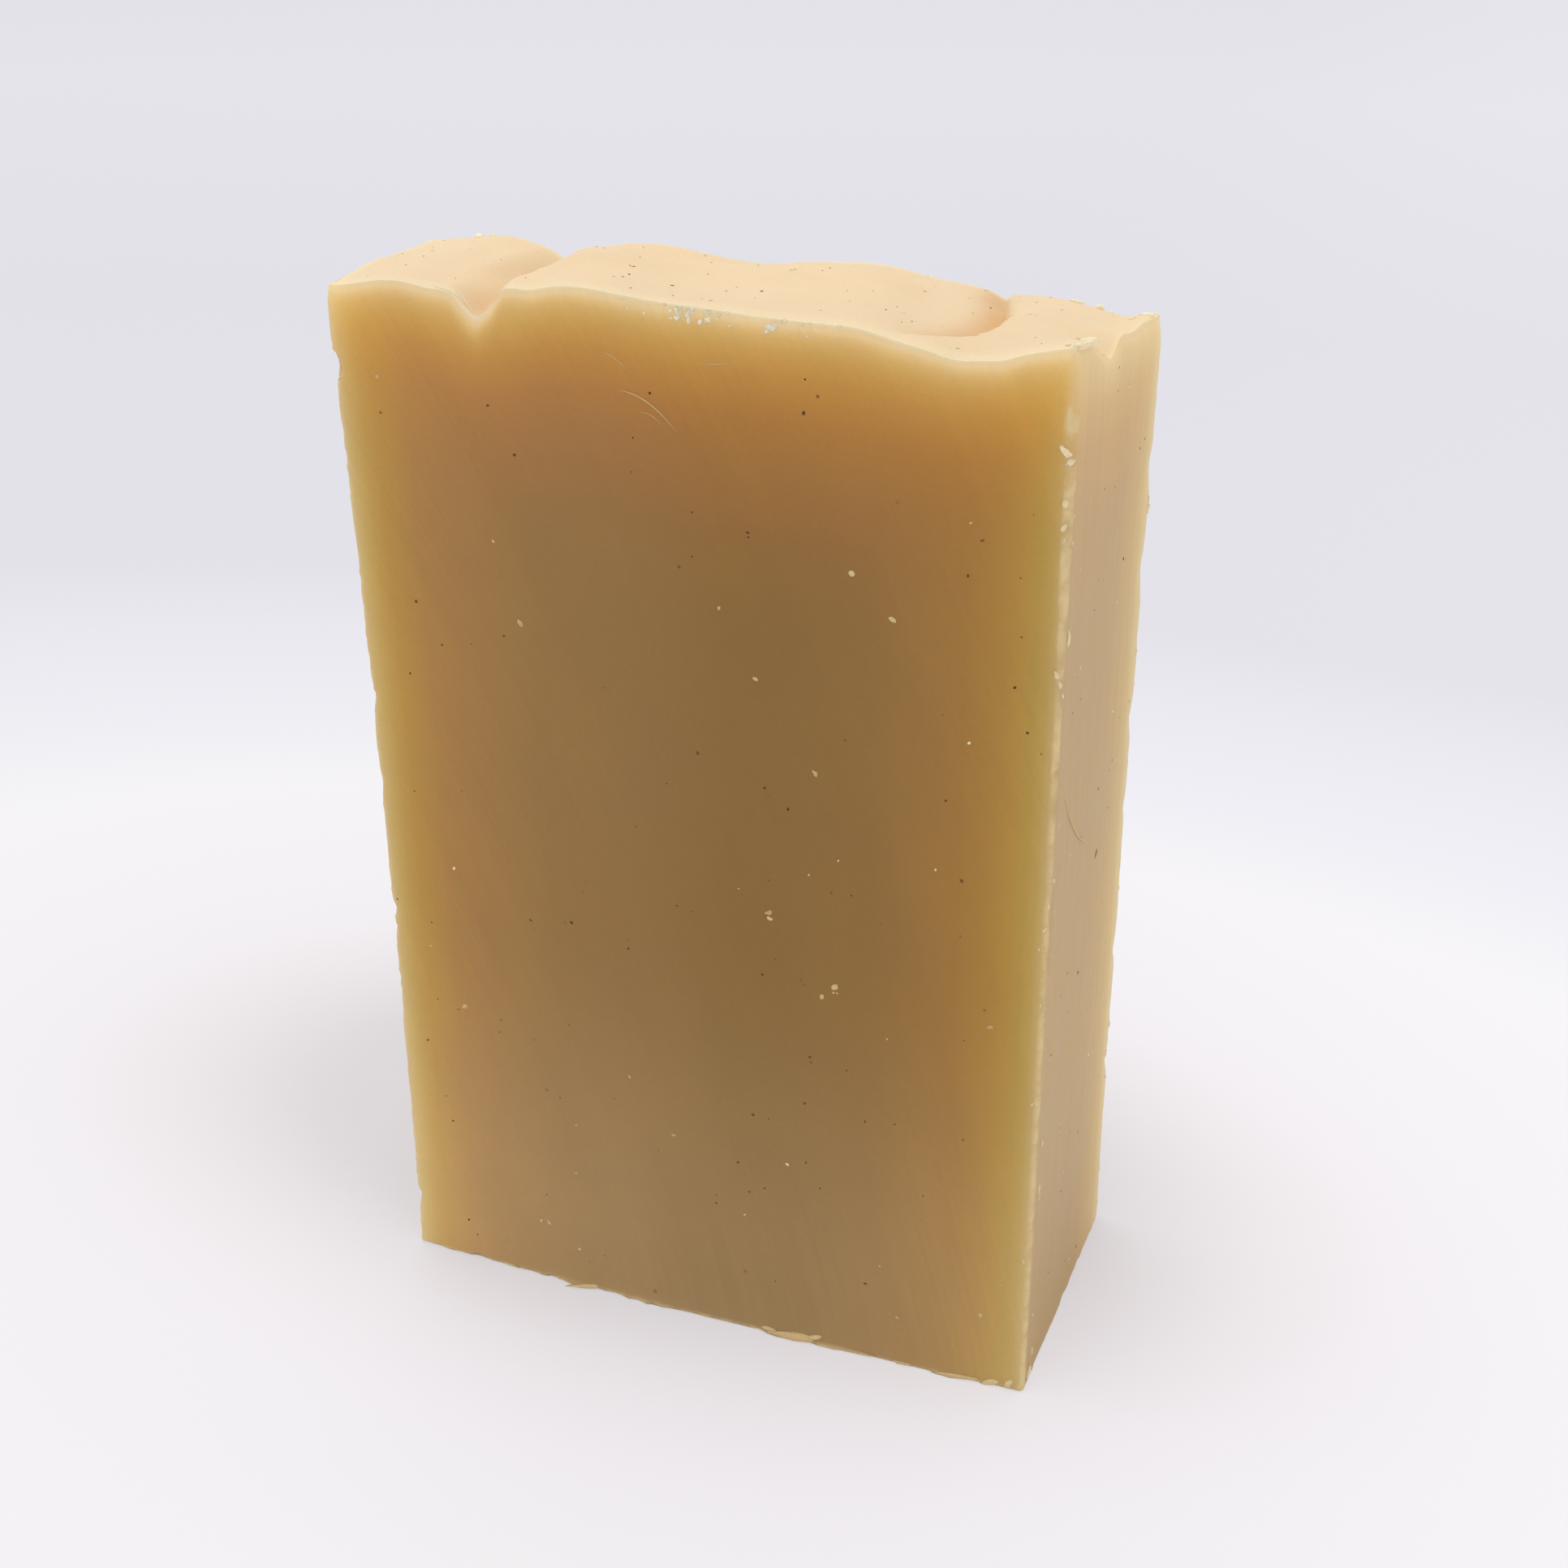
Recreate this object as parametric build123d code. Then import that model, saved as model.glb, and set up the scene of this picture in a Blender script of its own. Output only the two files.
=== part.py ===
from build123d import *
import math
import os

# A bar of handmade cold-process soap, cut as one slice from a tall, narrow loaf.
# The front and back (-Y and +Y) are knife cuts, the left, right and base are mould
# faces, and the top (+Z) is the poured surface with the strokes of a spoon in it.
# Millimetres. The origin is the middle of the footprint, on the surface it stands on.

# Overall size of the slice
width = 60.0             # between the mould walls, at the base
height = 91.0            # base to the mean level of the pour
thickness = 24.2         # between the two cuts, at the base, in the middle of the width

# How the slice leaves the true box
cut_taper = 1.9          # the two cuts close in by this much from base to top
cut_skew = 1.8           # the slice is this much thicker at its right side than at its left
wall_lean_left = 1.65    # the front left edge leans in by this much at mid height
wall_flare_back = 1.3    # the back left edge stands out by this much at the top
wall_set_front = 0.65    # the front right edge stands inside the half width by this much
wall_set_back = 0.5      # the back right edge stands outside it by this much

# Worn edges
wear_edge = 0.35         # radius of the upright edges and all round the base
facet_depth = 0.5        # how far the front right edge is worn back at the top
facet_end = 30.0         # height where that wear runs out

# The pour
spoon_depth = 1.0        # scale of all the strokes' relief
pour_margin = 6.0        # how far the poured surface is drawn past the cuts and walls
section_step = 3.0       # spacing of the sections that it is lofted through
section_point_step = 1.5  # spacing of the points along each section

# The strokes and scoops below are laid out on a pour of this size, and spread with it.
# Places are from its middle, and heights from its mean level.
layout_width = 60.0
layout_thickness = 24.2

# Each stroke line of the spoon runs from the front cut to the back cut:
# (place across at the front, height there, place across at the back, height there, bow)
strokes = [
    (-28.3, 0.8, -31.3, -0.8, 0.0),    # left rim
    (-22.6, 1.6, -22.9, -0.1, 0.0),    # left swell
    (-18.2, 1.1, -20.4, -0.6, -0.3),   # its shoulder
    (-15.1, -1.3, -18.4, -1.7, -0.6),  # notch and deep groove
    (-13.3, 1.1, -15.9, -0.5, -0.6),   # shoulder of the main swell
    (-8.0, 2.2, -11.0, 0.05, 0.0),     # main swell
    (1.4, 1.0, -1.5, -0.85, 0.0),      # dip
    (7.0, 1.0, 4.0, -0.2, 0.0),
    (12.6, 0.9, 7.3, -0.05, 0.5),      # second swell
    (17.2, -0.2, 14.8, -1.2, 1.2),
    (18.9, -0.65, 17.5, -1.3, 1.8),
    (21.0, -0.85, 18.9, -2.15, 1.6),   # right groove
    (24.0, -0.5, 22.4, -2.1, 0.6),
    (26.4, 0.4, 28.7, -3.2, 0.0),      # right lobe, with a dip in the back rim
    (29.3, 0.7, 30.5, -2.6, 0.0),      # right rim
]

# Scoops and lumps between the cuts: (across, back, reach across, reach back, height)
scoops = [
    (-9.5, 4.6, 4.6, 3.0, -1.05),    # behind the main swell
    (7.0, 8.0, 8.0, 2.3, -0.5),      # behind the second swell
    (-10.5, -3.0, 4.0, 2.8, 0.35),   # crest of the main swell
    (2.0, 2.4, 9.0, 2.2, 0.35),      # crest between the two scoops
    (-29.0, -2.0, 3.0, 5.0, 0.35),   # left rim, middle
    (30.0, -3.4, 2.4, 2.6, -1.9),    # nick in the right rim
    (30.0, 4.0, 2.6, 3.6, -0.7),
    (25.5, 3.0, 3.0, 4.5, 0.35),     # right lobe
]

# The notch broken out of the front left edge, near the top
notch_drop = 5.8         # its middle, below the mean level of the pour
notch_width = 2.6        # along the edge
notch_depth = 0.85       # into the edge

# The blank is taller than the slice: the pour and the flat base are cut into it
blank_top = height + 12.0
blank_foot = -3.0
half_width = width / 2


def half_thickness(x, z):
    """From the middle plane to either cut, at a place on the slice."""
    taper = cut_taper * z / height
    skew = cut_skew * x / width
    return (thickness - taper + skew) / 2


def cut_outline(side, left, right):
    """The outline of one cut face. side is -1 at the front and 1 at the back; left and
    right hold (place across, height) up each of its edges, from the base."""

    def on_cut(place):
        x, z = place
        return (x, side * half_thickness(x, z), z)

    right_up = [on_cut(place) for place in right]
    left_up = [on_cut(place) for place in left]
    return Wire([
        Edge.make_line(left_up[0], right_up[0]),
        Edge.make_spline([Vector(p) for p in right_up]),
        Edge.make_line(right_up[-1], left_up[-1]),
        Edge.make_spline([Vector(p) for p in reversed(left_up)]),
    ])


def slice_blank():
    """The slice between its two cuts and its mould faces, taller than the pour."""
    front = cut_outline(
        side=-1,
        left=[
            (-half_width, blank_foot),
            (-half_width + 0.5 * wall_lean_left, 0.28 * height),
            (-half_width + wall_lean_left, 0.72 * height),
            (-half_width + 0.7 * wall_lean_left, blank_top),
        ],
        right=[
            (half_width - wall_set_front, blank_foot),
            (half_width - 1.1 * wall_set_front, 0.5 * height),
            (half_width - 1.1 * wall_set_front, blank_top),
        ],
    )
    back = cut_outline(
        side=1,
        left=[
            (-half_width - 0.4 * wall_flare_back, blank_foot),
            (-half_width - 0.5 * wall_flare_back, 0.28 * height),
            (-half_width - 0.75 * wall_flare_back, 0.72 * height),
            (-half_width - 1.1 * wall_flare_back, blank_top),
        ],
        right=[
            (half_width + wall_set_back, blank_foot),
            (half_width + 0.9 * wall_set_back, 0.35 * height),
            (half_width + 2.1 * wall_set_back, blank_top),
        ],
    )
    blank = Solid.make_loft([front, back], ruled=True)
    return blank.split(Plane.XY, keep=Keep.TOP)


def worn(blank):
    """Rounds the upright edges and the base, and shaves the handled edge to a facet that
    is widest at the top and runs out part way down."""
    upright = blank.edges().filter_by(
        lambda edge: edge.bounding_box().size.Z > height / 2
    )
    base = blank.edges().group_by(Axis.Z)[0]
    blank = blank.fillet(wear_edge, list(upright) + list(base))
    edge_x = half_width - wall_set_front
    facet_top = Vector(edge_x, -half_thickness(edge_x, height), height)
    facet_foot = Vector(edge_x, -half_thickness(edge_x, facet_end), facet_end)
    outward = Vector(1, -1, 0).normalized()
    facet_top -= outward * facet_depth
    run = (facet_foot - facet_top).normalized()
    facet = Plane(facet_top, x_dir=run, z_dir=outward - run * outward.dot(run))
    return blank.split(facet, keep=Keep.BOTTOM)


def smooth_step(share):
    """An S-shaped blend from 0 to 1."""
    return share * share * (3 - 2 * share)


def pour_height(x, y):
    """Height of the poured surface, from its mean level."""
    x = x * layout_width / width
    y = y * layout_thickness / thickness
    along = min(max(y / layout_thickness + 0.5, -0.1), 1.1)
    lines = [
        (
            at_front + (at_back - at_front) * along + bow * 4 * along * (1 - along),
            front_height + (back_height - front_height) * along,
        )
        for at_front, front_height, at_back, back_height, bow in strokes
    ]
    if x <= lines[0][0]:
        level = lines[0][1]
    elif x >= lines[-1][0]:
        level = lines[-1][1]
    else:
        for (x_low, low), (x_high, high) in zip(lines, lines[1:]):
            if x <= x_high:
                level = low + (high - low) * smooth_step((x - x_low) / (x_high - x_low))
                break
    for across, back, reach_x, reach_y, lift in scoops:
        far = ((x - across) / reach_x) ** 2 + ((y - back) / reach_y) ** 2
        level += lift * math.exp(-far)
    return level * spoon_depth


def above_the_pour():
    """Everything above the poured surface, which the mould never held. It is lofted
    through sections across the slice, each with the stroke relief along its underside."""
    half_x = half_width + pour_margin
    half_y = thickness / 2 + pour_margin
    steps_x = round(2 * half_x / section_point_step)
    steps_y = round(2 * half_y / section_step)
    sections = []
    for j in range(steps_y + 1):
        y = -half_y + 2 * half_y * j / steps_y
        across = [-half_x + 2 * half_x * i / steps_x for i in range(steps_x + 1)]
        relief = [Vector(x, y, height + pour_height(x, y)) for x in across]
        upper_left = Vector(-half_x, y, blank_top + pour_margin)
        upper_right = Vector(half_x, y, blank_top + pour_margin)
        sections.append(Wire([
            Edge.make_spline(relief),
            Edge.make_line(relief[-1], upper_right),
            Edge.make_line(upper_right, upper_left),
            Edge.make_line(upper_left, relief[0]),
        ]))
    return Solid.make_loft(sections)


def notch():
    """The ball that bites the notch out of the front left edge."""
    radius = (notch_width ** 2 / 4 + notch_depth ** 2) / (2 * notch_depth)
    edge_x = -half_width + wall_lean_left
    edge_z = height - notch_drop
    edge = Vector(edge_x, -half_thickness(edge_x, edge_z), edge_z)
    outward = Vector(-1, -0.5, 0).normalized()
    return Pos(*(edge + outward * (radius - notch_depth))) * Sphere(radius)


def soap_bar():
    """The whole bar, moved so that the middle of its footprint is the origin."""
    bar = (worn(slice_blank()) - above_the_pour() - notch()).solid()
    box = bar.bounding_box()
    return bar.moved(Location((-box.center().X, -box.center().Y, -box.min.Z)))


os.makedirs("parts", exist_ok=True)
bar = soap_bar()
bar.label = "soap_bar"
export_step(bar, "parts/soap_bar.step")
print("volume, cubic centimetres:", round(bar.volume / 1000, 2))
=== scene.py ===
import math

import bmesh
import bpy
import numpy as np
from mathutils import Matrix, Vector
from mathutils.bvhtree import BVHTree


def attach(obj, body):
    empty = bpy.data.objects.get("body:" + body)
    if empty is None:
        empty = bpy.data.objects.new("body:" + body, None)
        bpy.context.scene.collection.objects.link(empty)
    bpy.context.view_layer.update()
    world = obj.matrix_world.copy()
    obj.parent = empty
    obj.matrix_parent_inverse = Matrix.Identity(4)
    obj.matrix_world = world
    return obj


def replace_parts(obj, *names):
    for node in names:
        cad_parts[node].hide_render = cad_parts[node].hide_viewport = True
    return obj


# A slice of handmade cold-process soap, standing on its end on a pale floor. Its front
# and back are knife cuts, its left, right and base are mould faces, and its top is the
# poured surface. Lengths are in millimetres until a mesh is made, and colours are as
# they look under the studio light, from 0 to 255.

MM = 0.001
NODE = "soap_bar"

# The body's mesh
finest_cell = 0.12       # at the edges
cell_growth = 0.12       # how much a cell grows for each millimetre from an edge
coarsest_cell = 0.5      # on the open faces

# How squarely a CAD face must face its axis to count as part of a cut or a wall
cut_facing = 0.98
wall_facing = 0.97

# Places well clear of the bar, from which looks along each axis start
outside_x = 80
outside_y = 60
outside_z = 160
high_above = 200.0

settling_rounds = 4      # of finding a place between sides that lean

# Wear of the body
edge_wear = 0.07         # mean depth lost along the cut edges
edge_reach = 0.5         # how far from an edge its wear spreads
nick_depth = 0.8         # of the deepest chips along them
chip_start = 0.55        # level of the noise above which it chips the edge
rim_softness = 0.35      # share of that wear along the rim of the pour
rim_round = 0.42         # how far the rim of the pour is rounded off
rim_reach = 1.2          # how far below the pour its rim counts
foot_swell = 0.7         # how far the front foot stands proud of the cut
foot_height = 4.5        # height where that runs out
foot_reach = 1.6         # how far behind the front cut the foot and its burr reach
burr_reach = 0.55        # of the ragged burr along the front of the base
burr_height = 0.55
strip_width = 0.44       # of the pale worn strip down the front right edge, at its top
strip_end = 44.0         # height where that has thinned to a line
strip_line = 0.12        # width of that line
strip_blur = 0.15        # how softly it ends
side_blend = 0.35        # how far one side's colour runs into the next
fold_depth = 6.0         # how far below the pour its folds stop moving the mesh
floor_gap = 0.02         # between the lumps on the bar and the floor

# Layers of seeded noise: (size of its lumps, seed)
layers = {
    "ragged": (2.7, 11), "ragged_fine": (0.6, 12), "chips": (1.3, 13),
    "skin_fine": (0.9, 14), "skin_broad": (4.0, 15),
    "burr": (3.2, 16), "burr_fine": (1.1, 17),
    "strip": (1.6, 18), "strip_fine": (0.5, 19), "lumps": (0.8, 21),
}

# How much of full light each side gets from the studio, so that a colour looks as named
cut_light = 0.86
wall_light = 0.88
pour_light = 1.06
painted_glow_reach = 34.0        # how far in the painted glow of light through a side is followed
dust_spacing = 4.6       # between the specks of herb dust in the soap

# The middle of the knife's sweep, which its faint lines on the cuts run round
sweep_x = -300.0
sweep_z = -68.0
sweep_stretch = 8.0      # how much a line may change along each radian of the sweep

# The studio: the soft lamp in metres and watts, and the camera in degrees and millimetres
surround_strength = 0.84
lamp_place = (-0.25, 0.15, 0.95)
lamp_size = 0.7
lamp_power = 2.2
camera_place = (56.093, -141.608, 128.9)
camera_turn = -20.25
camera_down = 27.88
camera_roll = -1.05
camera_lens = 46.584
sheet_radius = 3.0       # metres
sheet_gap = 0.02         # millimetres below the bar


# ---- shape of the CAD bar

def cad_triangles(node):
    """The CAD node's points in millimetres, and its triangles."""
    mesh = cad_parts[node].data
    mesh.calc_loop_triangles()
    points = np.empty(len(mesh.vertices) * 3)
    mesh.vertices.foreach_get("co", points)
    triangles = np.empty(len(mesh.loop_triangles) * 3, int)
    mesh.loop_triangles.foreach_get("vertices", triangles)
    return points.reshape(-1, 3) / MM, triangles.reshape(-1, 3)


class Bar:
    """The CAD bar's six sides as smooth functions of place, all in millimetres."""

    def __init__(self, node):
        points, triangles = cad_triangles(node)
        self.low, self.high = points.min(0), points.max(0)
        self.tree = BVHTree.FromPolygons(points.tolist(), triangles.tolist())
        corners = points[triangles]
        normal = np.cross(corners[:, 1] - corners[:, 0], corners[:, 2] - corners[:, 0])
        normal /= np.linalg.norm(normal, axis=1)[:, None] + 1e-12
        middle = corners.mean(1)
        self.cuts = [
            self.fit(middle[side * normal[:, 1] > cut_facing], self.cut_terms, 1)
            for side in (-1, 1)
        ]
        self.walls = [
            self.fit(middle[side * normal[:, 0] > wall_facing], self.wall_terms, 0)
            for side in (-1, 1)
        ]
        self.pour = self.pour_map()

    @staticmethod
    def fit(points, terms, axis):
        return np.linalg.lstsq(terms(points), points[:, axis], rcond=None)[0]

    @staticmethod
    def cut_terms(points):
        x, _, z = points.T
        return np.stack([np.ones(len(x)), x, z, x * z], 1)

    @staticmethod
    def wall_terms(points):
        _, y, z = points.T
        return np.stack([np.ones(len(y)), z, z * z, z ** 3, y, y * z, y * z * z], 1)

    def cut(self, side, points):
        """Where the front (0) or back (1) cut lies along Y, at those places."""
        return self.cut_terms(points) @ self.cuts[side]

    def wall(self, side, points):
        """Where the left (0) or right (1) mould face lies along X, at those places."""
        return self.wall_terms(points) @ self.walls[side]

    def spread(self, across, back, height):
        """Points at those shares of the way across and back, at that height. The sides lean,
        so their places are found in a few rounds."""
        points = np.zeros((len(across), 3))
        points[:, 2] = height
        for _ in range(settling_rounds):
            left, right = self.wall(0, points), self.wall(1, points)
            points[:, 0] = left + (right - left) * across
            front, rear = self.cut(0, points), self.cut(1, points)
            points[:, 1] = front + (rear - front) * back
        return points

    def pour_map(self, columns=180, rows=72, inset=0.02):
        """The height of the pour over an even grid of shares across and back, which are
        taken between the sides a little below the rim."""
        across, back = np.meshgrid(
            np.linspace(inset, 1 - inset, columns),
            np.linspace(inset, 1 - inset, rows),
            indexing="ij",
        )
        points = self.spread(across.ravel(), back.ravel(), 0.96 * self.high[2])
        heights = np.array([
            self.tree.ray_cast(Vector((x, y, high_above)), Vector((0, 0, -1)))[0].z
            for x, y, _ in points
        ])
        self.inset = inset
        self.soft_pour = self.blurred(heights.reshape(columns, rows))
        heights += spoon_marks(points[:, 0], points[:, 1])[0]
        return heights.reshape(columns, rows)

    def shares(self, points):
        """How far across and how far back each point is, from 0 to 1."""
        left, right = self.wall(0, points), self.wall(1, points)
        front, rear = self.cut(0, points), self.cut(1, points)
        return (points[:, 0] - left) / (right - left), (points[:, 1] - front) / (rear - front)

    def top(self, across, back, heights=None):
        """The pour's height at those shares of the way across and back."""
        grid = self.pour if heights is None else heights
        reach = 1 - 2 * self.inset
        u = np.clip((across - self.inset) / reach, 0, 1) * (grid.shape[0] - 1)
        v = np.clip((back - self.inset) / reach, 0, 1) * (grid.shape[1] - 1)
        i = np.minimum(u.astype(int), grid.shape[0] - 2)
        j = np.minimum(v.astype(int), grid.shape[1] - 2)
        u, v = u - i, v - j
        near = grid[i, j] * (1 - u) + grid[i + 1, j] * u
        far = grid[i, j + 1] * (1 - u) + grid[i + 1, j + 1] * u
        return near * (1 - v) + far * v

    def cad_top(self, points):
        """The height of the CAD bar's pour over each point."""
        return self.distances(points)[:, 4] + points[:, 2] - spoon_marks(*points.T[:2])[0]

    def distances(self, points):
        """From each point to the left, right, front, back, pour and base."""
        x, y, z = points.T
        return np.stack([
            x - self.wall(0, points),
            self.wall(1, points) - x,
            y - self.cut(0, points),
            self.cut(1, points) - y,
            self.top(*self.shares(points)) - z,
            z - self.low[2],
        ], 1)

    @staticmethod
    def blurred(grid, reach=12):
        """The grid with each height averaged over those around it, that many cells away."""
        soft = grid.copy()
        for axis in (0, 1):
            padded = np.concatenate([
                np.repeat(soft.take([0], axis), reach, axis),
                soft,
                np.repeat(soft.take([-1], axis), reach, axis),
            ], axis)
            count = soft.shape[axis]
            soft = sum(
                padded.take(range(step, step + count), axis)
                for step in range(2 * reach + 1)
            ) / (2 * reach + 1)
        return soft

    def hollow(self, points):
        """How far the pour lies below its own mean level around each point."""
        across, back = self.shares(points)
        return self.top(across, back, self.soft_pour) - self.top(across, back)


def along_path(x, y, path):
    """From each place to a line of points: how far to its left, and how far along it the
    nearest point is, from 0 to 1."""
    nearest = np.full(len(x), 1e9)
    left_of = np.zeros(len(x))
    share = np.zeros(len(x))
    count = len(path) - 1
    for number in range(count):
        start, end = np.array(path[number]), np.array(path[number + 1])
        run = end - start
        reach = np.hypot(*run)
        step = ((x - start[0]) * run[0] + (y - start[1]) * run[1]) / reach ** 2
        held = np.clip(step, 0, 1)
        off_x, off_y = x - start[0] - held * run[0], y - start[1] - held * run[1]
        gap = np.hypot(off_x, off_y)
        side = np.sign(run[0] * off_y - run[1] * off_x)
        closer = gap < nearest
        nearest[closer] = gap[closer]
        left_of[closer] = (gap * side)[closer]
        share[closer] = ((number + held) / count)[closer]
    return left_of, share


def smooth(share):
    """An S-shaped blend from 0 to 1, held beyond them."""
    share = np.clip(share, 0, 1)
    return share * share * (3 - 2 * share)


def spoon_marks(x, y):
    """The finer folds of the pour, which the CAD bar's strokes leave out: how far they lift
    it at each place, and how strong the painted shade in their hollows is, from 0 to 1."""
    lift, sunk = np.zeros(len(x)), np.zeros(len(x))
    for path, crest, valley, spread, hollow_shade in folds:
        left_of, share = along_path(x, y, path)
        ends = smooth(np.minimum(share, 1 - share) / fold_taper)
        behind = left_of > 0
        lip = fade(left_of, np.where(behind, lip_width, spread))
        hollow = behind * (1 - lip) * fade(left_of, spread)
        lift += ends * (crest * lip - valley * hollow)
        sunk = np.maximum(sunk, ends * hollow * hollow_shade)
    for across, back, reach, height in dabs:
        lift += height * fade(np.hypot(x - across, y - back), reach)
    return lift, sunk


def noise(points, size, seed):
    """Smooth seeded noise from -1 to 1, with lumps of about that size in millimetres."""
    lattice = np.random.default_rng(seed).uniform(-1, 1, (32, 32, 32))
    spot = points / size + 640.0
    cell = np.floor(spot).astype(int)
    share = spot - cell
    share = share * share * (3 - 2 * share)
    total = np.zeros(len(points))
    for corner in np.ndindex(2, 2, 2):
        weight = np.prod(np.where(corner, share, 1 - share), axis=1)
        i, j, k = ((cell + corner) % 32).T
        total += weight * lattice[i, j, k]
    return total


def fade(distance, reach):
    """1 at no distance, falling smoothly to nothing over about twice the reach."""
    return np.exp(-((distance / reach) ** 2))


# ---- the body

def graded(length):
    """Shares from 0 to 1 along that length, closest together at both ends."""
    places = [0.0]
    while places[-1] < length / 2:
        cell = min(finest_cell + cell_growth * places[-1], coarsest_cell)
        places.append(places[-1] + cell)
    half = np.array(places) / (2 * places[-1])
    return np.concatenate([half, 1 - half[-2::-1]])


def box_grid(bar):
    """The points, quads, and side of each quad of a graded box grid laid on the bar."""
    across, back, up = (graded(length) for length in bar.high - bar.low)
    shape = (len(across), len(back), len(up))
    index = np.full(shape, -1)
    spots = [
        spot for spot in np.ndindex(*shape)
        if any(place in (0, count - 1) for place, count in zip(spot, shape))
    ]
    spots = np.array(spots)
    index[tuple(spots.T)] = np.arange(len(spots))
    shares = np.stack([across[spots[:, 0]], back[spots[:, 1]], up[spots[:, 2]]], 1)
    height = bar.top(shares[:, 0], shares[:, 1]) * shares[:, 2]
    points = bar.spread(shares[:, 0], shares[:, 1], height)
    quads, sides = [], []
    for axis in range(3):
        for end in (0, -1):
            sheet = index.take(end, axis)
            corners = [sheet[:-1, :-1], sheet[1:, :-1], sheet[1:, 1:], sheet[:-1, 1:]]
            if (axis == 1) != (end == 0):
                corners.reverse()
            quads.append(np.stack([corner.ravel() for corner in corners], 1))
            sides.append(np.full(len(quads[-1]), 2 * axis + (0 if end == 0 else 1)))
    return points, np.concatenate(quads), np.concatenate(sides)


def snapped(bar, points):
    """Those points, each moved to the nearest place on the CAD surface."""
    return np.array([bar.tree.find_nearest(Vector(point))[0] for point in points])


def point_normals(points, quads):
    """Outward unit normals at the points of a quad mesh."""
    corner = points[quads]
    face = np.cross(corner[:, 2] - corner[:, 0], corner[:, 3] - corner[:, 1])
    normals = np.zeros_like(points)
    for place in range(4):
        np.add.at(normals, quads[:, place], face)
    return normals / (np.linalg.norm(normals, axis=1)[:, None] + 1e-12)


def outward(away, reach=0.8):
    """Unit directions away from the near sides, which turn smoothly over the edges."""
    pulls = np.exp(-np.maximum(away, 0) / reach)
    ways = np.stack([pulls[:, 1] - pulls[:, 0], pulls[:, 3] - pulls[:, 2],
                     pulls[:, 4] - pulls[:, 5]], 1)
    return ways / np.linalg.norm(ways, axis=1)[:, None]


def edge_loss(bar, points, away):
    """How deep the wear goes at each point: ragged edges, chips, the pour's rim and nicks."""
    edge = np.sort(np.maximum(away, 0), 1)[:, 1]
    at_rim = fade(away[:, 4], rim_reach)
    strength = 1 - (1 - rim_softness) * at_rim
    uneven = 0.6 * noise(points, *layers["ragged"]), 0.9 * noise(points, *layers["ragged_fine"])
    ragged = edge_wear * (1 + uneven[0] + uneven[1])
    chips = nick_depth * np.clip(noise(points, *layers["chips"]) - chip_start, 0, 1)
    depth = (ragged + chips) * fade(edge, edge_reach) * strength
    depth += rim_round * at_rim * fade(edge, 1.1)
    for side, across, height, deep, reach in nicks:
        spot = bar.spread(np.array([across]), np.array([side]), height)[0]
        depth += deep * fade(np.linalg.norm(points - spot, axis=1), reach)
    return depth


def swell_foot(bar, points, away, moved):
    """Pushes the front of the foot out, for its swelling, its burr and the second cut."""
    at_front = fade(away[:, 2], foot_reach)
    along = (points[:, 0] - bar.low[0]) / (bar.high[0] - bar.low[0])
    middle = np.clip(np.sin(np.pi * np.clip(along, 0.0, 1.0)), 0, 1) ** 0.6
    height = np.clip(1 - away[:, 5] / foot_height, 0, 1)
    moved[:, 1] -= foot_swell * at_front * middle * height ** 2
    burr = noise(points, *layers["burr"]) + 0.5 * noise(points, *layers["burr_fine"])
    burr = np.clip(burr, 0, 1)
    moved[:, 1] -= burr_reach * burr * at_front * middle * fade(away[:, 5], burr_height)
    across, heights, steps = foot_line
    below = smooth((np.interp(points[:, 0], across, heights) - away[:, 5]) / 0.5 + 0.5)
    moved[:, 1] -= at_front * below * np.interp(points[:, 0], across, steps)


def worn(bar, points, normals):
    """The points with the wear that the CAD bar leaves out, on a base that stays flat."""
    away = bar.distances(points)
    moved = points - outward(away) * edge_loss(bar, points, away)[:, None]
    fine, broad = noise(points, *layers["skin_fine"]), noise(points, *layers["skin_broad"])
    moved += normals * (0.02 * fine + 0.03 * broad)[:, None]
    swell_foot(bar, points, away, moved)
    moved[:, 2] = np.maximum(moved[:, 2], bar.low[2])
    moved[away[:, 5] < 0.02, 2] = bar.low[2]
    return moved


# Folds in the pour, each a lip along a path of (across, back) points, with a hollow to its
# left. The rest is the lip's height, the hollow's depth, how far both spread, and how strong
# the painted shade of deeper colour in its hollow is
painted_hollow_shade = 0.4        # strength of the painted shade in the CAD bar's own hollows
lip_width = 0.5
fold_taper = 0.18        # share of a path over which its fold comes and goes
folds = [
    # the lap over the scoop, behind the main swell
    ([(-15.6, -12.4), (-14.6, -9.8), (-12.8, -6.6), (-12.2, -3.6), (-11.0, -1.2),
      (-9.0, -0.5), (-6.4, 0.7), (-4.8, 2.6), (-3.6, 5.4)], 0.55, 0.9, 2.2, 0.6),
    # the ridge across the second swell
    ([(-5.4, 3.4), (-2.4, 4.6), (0.8, 4.9), (7.0, 4.5), (12.0, 4.1), (16.0, 3.4)],
     0.45, 0.6, 2.6, 0.7),
    # the right groove, under the flank of the second swell
    ([(15.6, -9.8), (18.8, -8.9), (20.9, -6.4), (21.8, -2.6), (21.6, 2.4), (20.2, 8.0),
      (18.8, 15.0)], 0.3, 1.2, 2.9, 1.0),
]
# Touches on the pour: (across, back, reach, height)
dabs = [
    (-15.6, -12.0, 2.0, 0.45),
    (1.0, -12.5, 4.5, 0.45),
    (16.0, -12.5, 2.2, 0.4),
    (29.6, -9.4, 2.0, 0.35),
    (30.5, -3.9, 0.9, 0.55),
    (-12.4, -12.0, 1.9, 0.35),
    (30.5, 5.5, 2.2, 0.2),
]

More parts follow.
